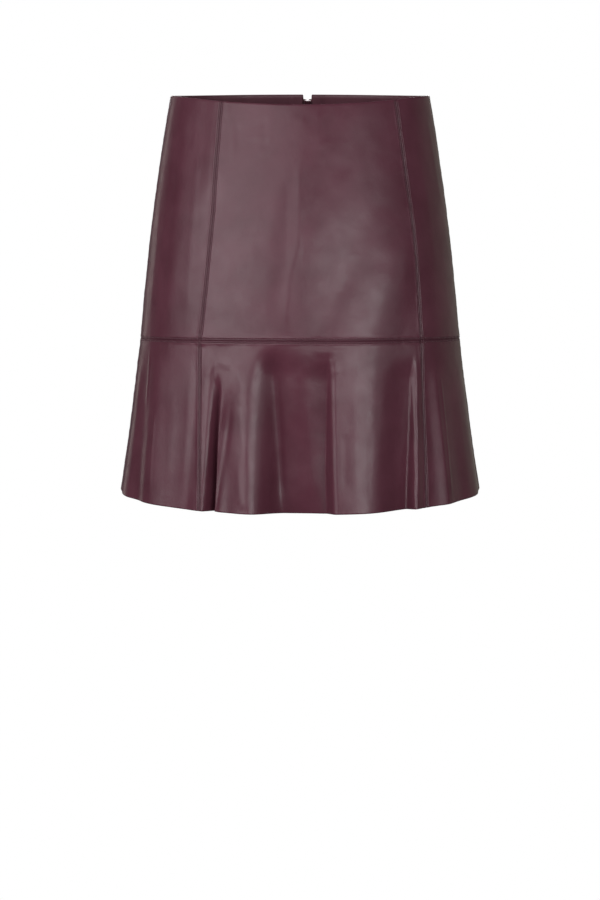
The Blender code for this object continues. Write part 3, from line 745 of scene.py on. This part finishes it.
def tube_object(name, paths, normals, radii, look):
    """Round tubes along paths of equal length, with closed ends."""
    count, places = paths.shape[:2]
    ahead = unit(np.gradient(paths, axis=1))
    aside = unit(np.cross(normals, ahead))
    upward = np.cross(ahead, aside)
    turn = np.arange(WIRE_SIDES) * 2 * math.pi / WIRE_SIDES
    ring = aside[:, :, None] * np.cos(turn)[:, None] + upward[:, :, None] * np.sin(turn)[:, None]
    vertices = paths[:, :, None] + ring * radii[None, :, None, None]
    index = np.arange(count * places * WIRE_SIDES).reshape(count, places, WIRE_SIDES)
    around = np.roll(index, -1, axis=2)
    corners = (index[:, :-1], around[:, :-1], around[:, 1:], index[:, 1:])
    quads = np.stack(corners, -1).reshape(-1, 4)
    ends = np.concatenate([index[:, 0, ::-1], index[:, -1]])
    faces = quads.tolist() + ends.tolist()
    return mesh_object(name, vertices.reshape(-1, 3), faces, (look,))


def with_inputs(node, inputs):
    for name, value in inputs.items():
        node.inputs[name.replace("_", " ")].default_value = value
    return node


def node_of(tree, kind, **inputs):
    return with_inputs(tree.nodes.new("ShaderNode" + kind), inputs)


def principled(name, **inputs):
    made = bpy.data.materials.new(name)
    made.use_nodes = True
    tree = made.node_tree
    return made, tree, with_inputs(tree.nodes["Principled BSDF"], inputs)


def spread(tree, source, low, high, socket, start=0.35, end=0.65):
    """Feed a socket with a noise value mapped onto a range."""
    span = node_of(tree, "MapRange", From_Min=start, From_Max=end, To_Min=low, To_Max=high)
    tree.links.new(source, span.inputs["Value"])
    tree.links.new(span.outputs["Result"], socket)


def colour_mix(tree, socket):
    """Inputs of a mix of two colours that feeds a colour socket."""
    mix = tree.nodes.new("ShaderNodeMix")
    mix.data_type = "RGBA"
    tree.links.new(mix.outputs["Result"], socket)
    return mix.inputs


def two_tones(tree, source, dark, light, socket):
    """Feed a colour socket with a mix of two tones."""
    mix = colour_mix(tree, socket)
    mix["A"].default_value = (*dark, 1.0)
    mix["B"].default_value = (*light, 1.0)
    spread(tree, source, 0.0, 1.0, mix["Factor"])


def bumps(tree, shader, heights):
    """Chain of bumps on a shader: source socket, strength, distance."""
    before = None
    for source, strength, distance in heights:
        bump = node_of(tree, "Bump", Strength=strength, Distance=distance)
        tree.links.new(source, bump.inputs["Height"])
        if before is not None:
            tree.links.new(before.outputs["Normal"], bump.inputs["Normal"])
        before = bump
    tree.links.new(before.outputs["Normal"], shader.inputs["Normal"])


def textures(tree, **scales):
    """Noises, and pebbles called grain, on the object's own coordinates, by name."""
    place = tree.nodes.new("ShaderNodeTexCoord").outputs["Object"]
    found = {}
    for name, scale in scales.items():
        if name == "grain":
            texture = node_of(tree, "TexVoronoi", Scale=scale)
        else:
            texture = node_of(tree, "TexNoise", Scale=scale, Detail=4.0, Roughness=0.55)
        tree.links.new(place, texture.inputs["Vector"])
        found[name] = texture.outputs["Distance" if name == "grain" else "Fac"]
    return found


def mottled(name, scales, tones, dullness, relief, **inputs):
    """Material with two blotched tones, uneven dullness and bumps, each from a named texture."""
    made, tree, shader = principled(name, **inputs)
    found = textures(tree, **scales)
    two_tones(tree, found[tones[0]], *tones[1:], shader.inputs["Base Color"])
    spread(tree, found[dullness[0]], *dullness[1:], shader.inputs["Roughness"])
    bumps(tree, shader, [(found[texture], *form) for texture, *form in relief])
    return made


def smooth_leather():
    """Smooth nappa: fine pebble grain, faint blotches of tone, and duller sewn bands whose darker
    colour is partly pressed leather and partly painted shade.
    """
    made, tree, shader = principled("leather", Specular_IOR_Level=0.36)
    rough = textures(tree, blotch=24.0, patch=75.0, wrinkle=240.0, fine=1900.0, grain=1050.0)
    attribute = tree.nodes.new("ShaderNodeAttribute")
    attribute.attribute_name = "sewn"
    press_and_shade_mask = attribute.outputs["Fac"]
    # Sewn bands darker: partly the pressed leather's colour, partly painted shade in the grooves and
    # stitch rows
    press_and_shade_mix = colour_mix(tree, shader.inputs["Base Color"])
    press_and_shade_mix["B"].default_value = SEWN_PRESS_AND_SHADE_TONE
    two_tones(tree, rough["blotch"], (0.094, 0.026, 0.041), (0.115, 0.0338, 0.0522), press_and_shade_mix["A"])
    spread(tree, press_and_shade_mask, 0.0, SEWN_PRESS_AND_SHADE_DARKER, press_and_shade_mix["Factor"], 0.0, 1.0)
    duller = node_of(tree, "Math")
    tree.links.new(duller.outputs["Value"], shader.inputs["Roughness"])
    spread(tree, rough["patch"], 0.285, 0.345, duller.inputs[0])
    spread(tree, press_and_shade_mask, 0.0, SEWN_DULLER, duller.inputs[1], 0.0, 1.0)
    bumps(tree, shader, (
        (rough["wrinkle"], 0.2, 0.0004),
        (rough["grain"], 0.16, 0.00009),
        (rough["fine"], 0.1, 0.00005),
    ))
    return made


def flesh_side():
    """Suede-like inside of the hide."""
    return mottled("leather_flesh_side", {"blotch": 40.0, "nap": 900.0},
                   tones=("blotch", (0.12, 0.05, 0.06), (0.165, 0.075, 0.088)),
                   dullness=("nap", 0.86, 0.96), relief=[("nap", 0.6, 0.0003)],
                   Specular_IOR_Level=0.15, Sheen_Weight=0.25, Sheen_Roughness=0.6)


def cut_edge():
    return mottled("leather_cut_edge", {"fibre": 1400.0},
                   tones=("fibre", (0.06, 0.018, 0.026), (0.095, 0.03, 0.043)),
                   dullness=("fibre", 0.55, 0.75), relief=[("fibre", 0.5, 0.0002)],
                   Specular_IOR_Level=0.25)


def facing_leather():
    scales = {"blotch": 30.0, "patch": 90.0, "wrinkle": 260.0, "grain": 1050.0}
    return mottled("leather_facing", scales,
                   tones=("blotch", (0.076, 0.024, 0.035), (0.094, 0.032, 0.045)),
                   dullness=("patch", 0.42, 0.52),
                   relief=[("wrinkle", 0.25, 0.0004), ("grain", 0.2, 0.0001)],
                   Specular_IOR_Level=0.35)


def thread():
    return mottled("thread", {"ply": 2600.0},
                   tones=("ply", (0.085, 0.024, 0.038), (0.15, 0.052, 0.072)),
                   dullness=("ply", 0.45, 0.6), relief=[("ply", 0.5, 0.0001)],
                   Specular_IOR_Level=0.3, Sheen_Weight=0.2)


def tape_weave():
    """Zip tape: fine crossing bands of woven yarn."""
    made, tree, shader = principled("zip_tape_weave", Specular_IOR_Level=0.2, Sheen_Weight=0.3)
    place = tree.nodes.new("ShaderNodeTexCoord").outputs["Object"]
    bands = []
    for direction in ("X", "Z"):
        wave = node_of(tree, "TexWave", Scale=420.0, Distortion=0.6)
        wave.wave_type = "BANDS"
        wave.bands_direction = direction
        tree.links.new(place, wave.inputs["Vector"])
        bands.append(wave.outputs["Fac"])
    two_tones(tree, bands[0], (0.048, 0.014, 0.022), (0.075, 0.024, 0.036), shader.inputs["Base Color"])
    spread(tree, bands[1], 0.78, 0.92, shader.inputs["Roughness"])
    bumps(tree, shader, ((bands[0], 0.5, 0.00025), (bands[1], 0.5, 0.00025)))
    return made


def enamelled_metal(name, metallic, low, high):
    """Coloured coat on the zip's hard parts, with a range of dullness."""
    return mottled(name, {"patch": 400.0, "fine": 2500.0},
                   tones=("patch", (0.066, 0.019, 0.029), (0.088, 0.027, 0.041)),
                   dullness=("patch", low, high), relief=[("fine", 0.15, 0.00005)],
                   Metallic=metallic, Coat_Weight=0.25, Coat_Roughness=0.2)


def place_piece(piece, replaced=()):
    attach(piece, BODY)
    if replaced:
        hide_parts(*replaced)
    return piece


def allowance(name, plain, normal, looks):
    """Strip of leather turned in at a seam and glued to the inside of its panel."""
    near = plain - normal * (SHELL + ALLOWANCE_GAP)
    far = near - normal * ALLOWANCE_WALL
    return place_piece(closed_shell(name, near, far, looks))


def cloth_piece(node, bearing, drop, looks, strips):
    """Finished shell of one cut piece, with its seam allowances."""
    outer = dressed(bearing, drop)
    plain = dressed(bearing, drop, False)
    normal = normals_of(plain)
    inner = plain - normal * SHELL
    faces = (looks["leather"], looks["flesh"], looks["edge"])
    piece = closed_shell(node + "_leather", outer, inner, faces)
    # Sewn-band mask; its darker tone is partly pressed leather and partly painted shade
    press_and_shade_mask = piece.data.attributes.new("sewn", "FLOAT", "POINT")
    values = np.zeros(len(piece.data.vertices), np.float32)
    values[:drop.size] = press_and_shade_share(bearing, drop).ravel()
    press_and_shade_mask.data.foreach_set("value", values)
    place_piece(piece, (node,))
    wide = len(EDGE_STEPS)
    cuts = {"left": np.s_[:, :wide], "right": np.s_[:, -wide:], "foot": np.s_[-wide:]}
    inside = (looks["flesh"], looks["flesh"], looks["edge"])
    for side in strips:
        cut = cuts[side]
        allowance(f"{node}_allowance_{side}", plain[cut], normal[cut], inside)
    width, length, area = flat_size(outer)


def notch_drop(bearing, drop):
    """How far the top of the back seam is cut down: a wide notch with a narrow slot in it."""
    distance = from_back_centre(bearing, drop)
    wide = NOTCH_DEPTH * ease((NOTCH_HALF + NOTCH_RAMP - distance) / NOTCH_RAMP)
    slot_depth = SLOT_BOTTOM + BACK_RISE - NOTCH_DEPTH
    slot = slot_depth * ease((SLOT_HALF + NOTCH_RAMP - distance) / NOTCH_RAMP)
    return wide + slot


def with_dart_columns(middle, left, right):
    """Shares across a body panel, with close columns at the darts that lie in it."""
    start, end = left.mean(), right.mean()
    for centre, _ in DARTS:
        if start < centre < end:
            at = (centre - start) / (end - start)
            metre = degrees_for(1.0, centre, DART_MIDDLE) / (end - start)
            clear = np.abs(middle - at) > DART_REACH * metre
            middle = np.union1d(middle[clear], at + DART_STEPS * metre)
    return middle


def body_panel(node, left_seam, right_seam, looks):
    """Panel between two upright seams, from the waist edge to the flounce seam."""
    height = SEAM_FRONT - FRONT_DIP
    share = shares_between(WAIST_STEPS, EDGE_STEPS, height, BODY_STEP)[:, None]
    left = seam_in_body(left_seam, share)
    right = seam_in_body(right_seam, share)
    rough_drop = waist_line(left) + (flounce_seam(left) - waist_line(left)) * share
    per_metre = degrees_for(1.0, (left + right).mean() / 2, SEAM_FRONT)
    widest = (right - left).max() / per_metre
    even = np.linspace(0, 1, max(LEAST_COLUMNS, round(widest / BODY_STEP)))[1:-1]
    middle = with_dart_columns(even, left, right)
    first = NOTCH_STEPS if left_seam == "back centre" else EDGE_STEPS
    last = NOTCH_STEPS if right_seam == "back centre" else EDGE_STEPS
    bearing = across_rows(left, right, rough_drop, first, last, middle)
    top = waist_line(bearing) + notch_drop(bearing, waist_line(bearing))
    drop = top + (flounce_seam(bearing) - SEAM_GAP / 2 - top) * share
    sides = (("left", left_seam), ("right", right_seam))
    strips = ["foot"] + [side for side, seam in sides if seam != "back centre"]
    cloth_piece(node, bearing, drop, looks, strips)


def flounce_piece(node, left_seam, right_seam, looks):
    """Piece of flounce between two upright seams, from the flounce seam to the hem."""
    height = HEM_FRONT - SEAM_FRONT
    share = shares_between(EDGE_STEPS, HEM_STEPS, height, ROW_STEP)[:, None]
    left = seam_in_flounce(left_seam, share)
    right = seam_in_flounce(right_seam, share)
    rough_drop = flounce_seam(left) + (hem_line(left) - flounce_seam(left)) * share
    middle = fold_shares(left[-1, 0], right[-1, 0])
    bearing = across_rows(left, right, rough_drop, EDGE_STEPS, EDGE_STEPS, middle)
    top = flounce_seam(bearing) + SEAM_GAP / 2
    drop = top + (hem_line(bearing) - top) * share
    cloth_piece(node, bearing, drop, looks, ["left", "right"])


def facing(node, left, right, looks):
    """Facing strip inside the waist edge, which steps over the zip tape near the back centre."""
    count = round((right - left) / degrees_for(FACING_STEP, 0.0, FACING_MIDDLE))
    steps = np.linspace(-STANDOFF_END, STANDOFF_END, STANDOFF_COLUMNS)
    bends = BACK_CENTRE + degrees_for(steps, BACK_CENTRE, 0.0)
    bends = bends[(bends > left) & (bends < right)]
    bearing = np.union1d(np.linspace(left, right, count + 1), bends)[None, :]
    share = np.linspace(0.0, 1.0, FACING_ROWS)[:, None]
    drop = waist_line(bearing) + FACING_TOP + (FACING_HEIGHT - FACING_TOP) * share
    bearing, drop = np.broadcast_arrays(bearing, drop)
    away = from_back_centre(bearing, drop)
    rise = ease((STANDOFF_END - away) / (STANDOFF_END - STANDOFF_START))
    depth = FACING_DEPTH + TAPE_STANDOFF * rise
    size, height = HIDE_WAVES[1]
    outer = skin(bearing, drop, depth + wander(skin(bearing, drop), size) * height)
    inner = outer - normals_of(outer) * FACING_WALL
    faces = (looks["flesh"], looks["facing"], looks["edge"])
    piece = closed_shell(node + "_leather", outer, inner, faces)
    place_piece(piece, (node,))
    width, length, area = flat_size(outer)


def facings(looks):
    """The front facing and the two back ones, which end beside the notch."""
    edge = degrees_for(FACING_EDGE, BACK_CENTRE, 0.0)
    gap = degrees_for(SEAM_GAP / 2, 90.0, 0.0)
    facing("facing_front", -90.0 + gap, 90.0 - gap, looks)
    facing("facing_back_left", 90.0 + gap, BACK_CENTRE - edge, looks)
    facing("facing_back_right", BACK_CENTRE + edge, 270.0 - gap, looks)


def zip_tape(node, side, looks):
    """Woven tape beside the back centre: side is 1 towards rising bearing and -1 the other way."""
    across = np.linspace(TAPE_INNER_EDGE, TAPE_WIDTH, TAPE_COLUMNS + 1)[None, :]
    drop = np.linspace(TAPE_TOP, TAPE_BOTTOM, TAPE_ROWS + 1)[:, None]
    bearing = BACK_CENTRE + side * degrees_for(across, BACK_CENTRE, drop)
    if side < 0:
        bearing = bearing[:, ::-1]
    outer = skin(bearing, np.broadcast_to(drop, bearing.shape), LEATHER_WALL + LAYER_GAP)
    inner = outer - normals_of(outer) * TAPE_WALL
    piece = closed_shell(node + "_woven", outer, inner, (looks["tape"],) * 3)
    place_piece(piece, (node,))
    width, length, area = flat_size(outer)


def zip_coil(name, side, look):
    """Coil of teeth on the inner face of one tape, which meshes with the other coil."""
    turns = (COIL_BOTTOM - COIL_TOP) / COIL_PITCH
    angle = np.linspace(0, 2 * math.pi * turns, round(turns * COIL_SAMPLES))
    half_pitch = COIL_PITCH / 2 if side > 0 else 0.0
    drop = COIL_TOP + half_pitch + COIL_PITCH * angle / (2 * math.pi)
    aside = side * (COIL_CENTRE + COIL_HALF_WIDTH * np.cos(angle))
    depth = LEATHER_WALL + LAYER_GAP + TAPE_WALL + COIL_HALF_DEPTH + COIL_WIRE
    depth = depth + COIL_HALF_DEPTH * np.sin(angle)
    bearing = BACK_CENTRE + aside * degrees_for(1.0, BACK_CENTRE, drop)
    path = skin(bearing, drop, depth)[None]
    upright = np.broadcast_to(np.array((0.0, 0.0, 1.0)), path.shape)
    piece = tube_object(name, path, upright, np.full(path.shape[1], COIL_WIRE), look)
    place_piece(piece)


def stitch_paths(bearing, drop):
    """Middle lines and normals of the stitches along a line on the finished surface."""
    fine = np.linspace(0, 1, ROW_SAMPLES)
    coarse = np.linspace(0, 1, len(bearing))
    bearing, drop = np.interp(fine, coarse, bearing), np.interp(fine, coarse, drop)
    line = dressed(bearing, drop)
    beside = dressed(bearing + PROBE_TURN, drop) - dressed(bearing - PROBE_TURN, drop)
    below = dressed(bearing, drop + PROBE_DROP) - dressed(bearing, drop - PROBE_DROP)
    normal = unit(np.cross(below, beside))
    passed = np.concatenate([[0.0], np.cumsum(lengths(np.diff(line, axis=0)))])
    centres = np.arange(STITCH_PITCH / 2, passed[-1], STITCH_PITCH)
    places = centres[:, None] + STITCH_LENGTH * STITCH_PLACES[None, :]
    path = np.stack([np.interp(places, passed, line[:, k]) for k in range(3)], -1)
    facing_out = np.stack([np.interp(places, passed, normal[:, k]) for k in range(3)], -1)
    return path + facing_out * STITCH_LIFTS[None, :, None], facing_out


def stitches(name, lines, look):
    found = [stitch_paths(*line) for line in lines]
    paths = np.concatenate([path for path, _ in found])
    normals = np.concatenate([normal for _, normal in found])
    piece = tube_object(name, paths, normals, THREAD_RADIUS * STITCH_SWELL, look)
    place_piece(piece)


def upright_stitch_lines(seam, flounce_only=False):
    """Two rows in the body and two in the flounce, one on each side of an upright seam."""
    lines = []
    share = np.linspace(0, 1, UPRIGHT_SAMPLES)
    for in_flounce in ((True,) if flounce_only else (False, True)):
        at = (seam_in_flounce if in_flounce else seam_in_body)(seam, share)
        start = flounce_seam(at) + STITCH_LINE if in_flounce else waist_line(at) + FACING_TOP
        end = hem_line(at) - FACING_TOP if in_flounce else flounce_seam(at) - STITCH_LINE
        drop = start + (end - start) * share
        for side in (-1, 1):
            lines.append((at + side * degrees_for(STITCH_LINE, at, drop), drop))
    return lines


def level_stitch_lines():
    """Rows above and below the flounce seam, broken where the upright seams cross it."""
    lines = []
    at_seam = [row[2] for row in SEAM_LINES.values()]
    clear = degrees_for(STITCH_LINE, 0.0, SEAM_FRONT)
    for left, right in zip(at_seam[:-1], at_seam[1:]):
        bearing = np.linspace(left + clear, right - clear, LEVEL_SAMPLES)
        for side in (-1, 1):
            lines.append((bearing, flounce_seam(bearing) + side * STITCH_LINE))
    return lines


def sewing(look):
    for seam in ("right side", "front right", "front left", "left side"):
        stitches("stitches_" + seam.replace(" ", "_"), upright_stitch_lines(seam), look)
    stitches("stitches_back_centre", upright_stitch_lines("back centre", True), look)
    stitches("stitches_flounce_seam", level_stitch_lines(), look)


def dress_zip_metal(look):
    for name in ("zip_slider", "zip_pull"):
        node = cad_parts[name]
        node.data.materials.clear()
        node.data.materials.append(look)


def aimed(obj, place, target):
    obj.location = place
    obj.rotation_euler = (Vector(target) - Vector(place)).to_track_quat("-Z", "Y").to_euler()


def studio_light(name, azimuth, elevation, distance, width, height, power, colour):
    lamp = bpy.data.lights.new(name, "AREA")
    lamp.shape = "RECTANGLE"
    lamp.size = width
    lamp.size_y = height
    lamp.energy = power
    lamp.color = colour
    made = object_of(name, lamp)
    turn, rise = math.radians(azimuth), math.radians(elevation)
    away = Vector((math.sin(turn) * math.cos(rise), -math.cos(turn) * math.cos(rise), math.sin(rise)))
    aimed(made, Vector(LIGHT_TARGET) + away * distance, LIGHT_TARGET)
    made.visible_camera = False


def white_card():
    made = bpy.data.materials.new("white_stage")
    made.use_nodes = True
    tree = made.node_tree
    tree.nodes.clear()
    glow = node_of(tree, "Emission", Color=(*WHITE, 1.0), Strength=1.0)
    end = tree.nodes.new("ShaderNodeOutputMaterial")
    tree.links.new(glow.outputs["Emission"], end.inputs["Surface"])
    return made


def stage(look):
    """White room and pale floor that only the camera sees, so that they cast no light."""
    bpy.ops.mesh.primitive_uv_sphere_add(radius=STAGE_RADIUS, segments=48, ring_count=24)
    room = bpy.context.object
    room.name = "stage_room"
    bpy.ops.mesh.primitive_circle_add(vertices=96, radius=STAGE_RADIUS * FLOOR_SHARE,
                                      fill_type="NGON", location=(0.0, 0.0, -FLOOR_DROP))
    floor = bpy.context.object
    floor.name = "stage_floor"
    for part in (room, floor):
        part.data.materials.append(look)
        part.visible_diffuse = False
        part.visible_glossy = False
        part.visible_transmission = False
        part.visible_shadow = False


def camera():
    lens = bpy.data.cameras.new("camera")
    lens.lens = CAMERA_LENS
    lens.sensor_width = CAMERA_SENSOR
    lens.sensor_fit = "AUTO"
    lens.clip_end = CAMERA_REACH
    made = object_of("camera", lens)
    aimed(made, CAMERA_PLACE, (0.0, 0.0, -CAMERA_AIM_DROP))
    bpy.context.scene.camera = made


def studio():
    for light in LIGHTS:
        studio_light(*light)
    world = bpy.data.worlds.new("studio")
    world.use_nodes = True
    sky = world.node_tree.nodes["Background"]
    sky.inputs["Color"].default_value = (*WHITE, 1.0)
    sky.inputs["Strength"].default_value = WORLD_STRENGTH
    bpy.context.scene.world = world
    bpy.context.scene.view_settings.view_transform = "Standard"
    stage(white_card())
    camera()


def skirt():
    looks = {
        "leather": smooth_leather(),
        "flesh": flesh_side(),
        "edge": cut_edge(),
        "facing": facing_leather(),
        "tape": tape_weave(),
    }
    for node, _, left, right in PANELS:
        body_panel(node, left, right, looks)
    for _, node, left, right in PANELS:
        flounce_piece(node, left, right, looks)
    facings(looks)
    zip_tape("zip_tape_left", -1, looks)
    zip_tape("zip_tape_right", 1, looks)
    teeth = enamelled_metal("zip_teeth", 0.0, 0.3, 0.42)
    zip_coil("zip_coil_left", -1, teeth)
    zip_coil("zip_coil_right", 1, teeth)
    dress_zip_metal(enamelled_metal("zip_enamel", 0.6, 0.26, 0.38))
    sewing(thread())


skirt()
studio()
